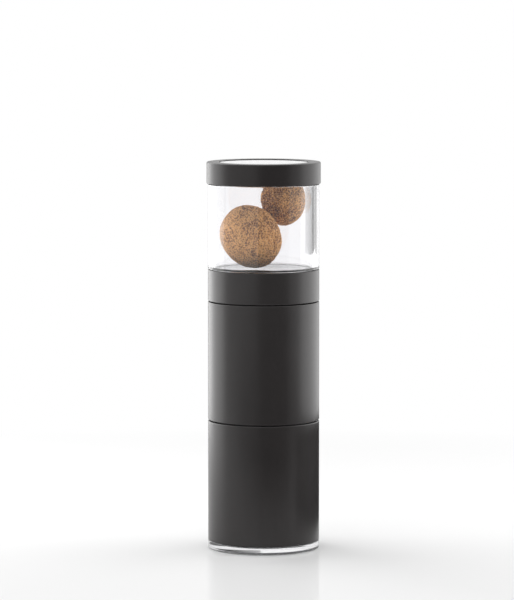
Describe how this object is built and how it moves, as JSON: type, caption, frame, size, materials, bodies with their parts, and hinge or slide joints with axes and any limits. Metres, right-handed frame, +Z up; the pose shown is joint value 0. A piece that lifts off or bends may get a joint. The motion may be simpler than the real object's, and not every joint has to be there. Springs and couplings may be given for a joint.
{
  "type": "nutmeg grater",
  "caption": "Upright twist-action nutmeg grater: black cylinder whose lower half turns a cutting disc, with a sprung pusher, a clear storage jar and lid on top, and a clear base cover.",
  "frame": {"origin": "middle of the foot ring, on the surface that the grater stands on", "axes": "+Z up along the grater's axis; -Y is the front, as pictured; +X is to the right"},
  "size_m": [0.043, 0.043, 0.1462],
  "materials": {
    "satin_black": "satin",
    "black_plastic": "matte",
    "clear_plastic": "clear",
    "steel": "satin",
    "black_rubber": "matte",
    "clear_rubber": "matte",
    "nutmeg": "wrinkled, matte"
  },
  "bodies": {
    "grip": {"upper_casing": "satin_black", "chamber_tube": "black_plastic", "grip_hub": "black_plastic", "hub_nut": "black_plastic"},
    "lower_half": {"lower_casing": "satin_black", "blade_housing": "black_plastic", "funnel_ring": "black_plastic", "cutting_disc": "steel", "thrust_washer": "black_plastic"},
    "base_cover": {"base_cover": "clear_plastic", "base_cover_seal": "clear_rubber"},
    "top_unit": {"jar_collar": "satin_black", "collar_gasket": "black_rubber", "spring_guide": "black_plastic", "guide_screw_1": "steel", "guide_screw_2": "steel", "guide_screw_3": "steel", "storage_jar": "clear_plastic", "jar_gasket": "black_rubber", "stored_nutmeg_front": "nutmeg", "stored_nutmeg_back": "nutmeg"},
    "pusher": {"pusher_plate": "black_plastic", "pusher_stem": "steel", "claw_plate": "steel", "claw_screw": "steel", "pusher_spring": "steel"},
    "jar_lid": {"lid_ring": "satin_black", "lid_window": "clear_plastic", "lid_seal": "clear_rubber"}
  },
  "joints": [
    {"name": "mill_turn", "type": "hinge", "parent": "grip", "child": "lower_half", "pos_m": [0, 0, 0.0487], "axis": [0, 0, 1], "continuous": true},
    {"name": "base_cover_pull", "type": "slide", "parent": "lower_half", "child": "base_cover", "axis": [0, 0, -1], "range_m": [0, 0.02]},
    {"name": "top_unit_lift", "type": "slide", "parent": "grip", "child": "top_unit", "axis": [0, 0, 1], "range_m": [0, 0.072]},
    {"name": "pusher_slide", "type": "slide", "parent": "top_unit", "child": "pusher", "axis": [0, 0, 1], "range_m": [0, 0.025], "stiffness_N_per_m": 100, "springref_m": -0.012, "deforming": ["pusher_spring"]},
    {"name": "lid_lift", "type": "slide", "parent": "top_unit", "child": "jar_lid", "axis": [0, 0, 1], "range_m": [0, 0.02]}
  ]
}
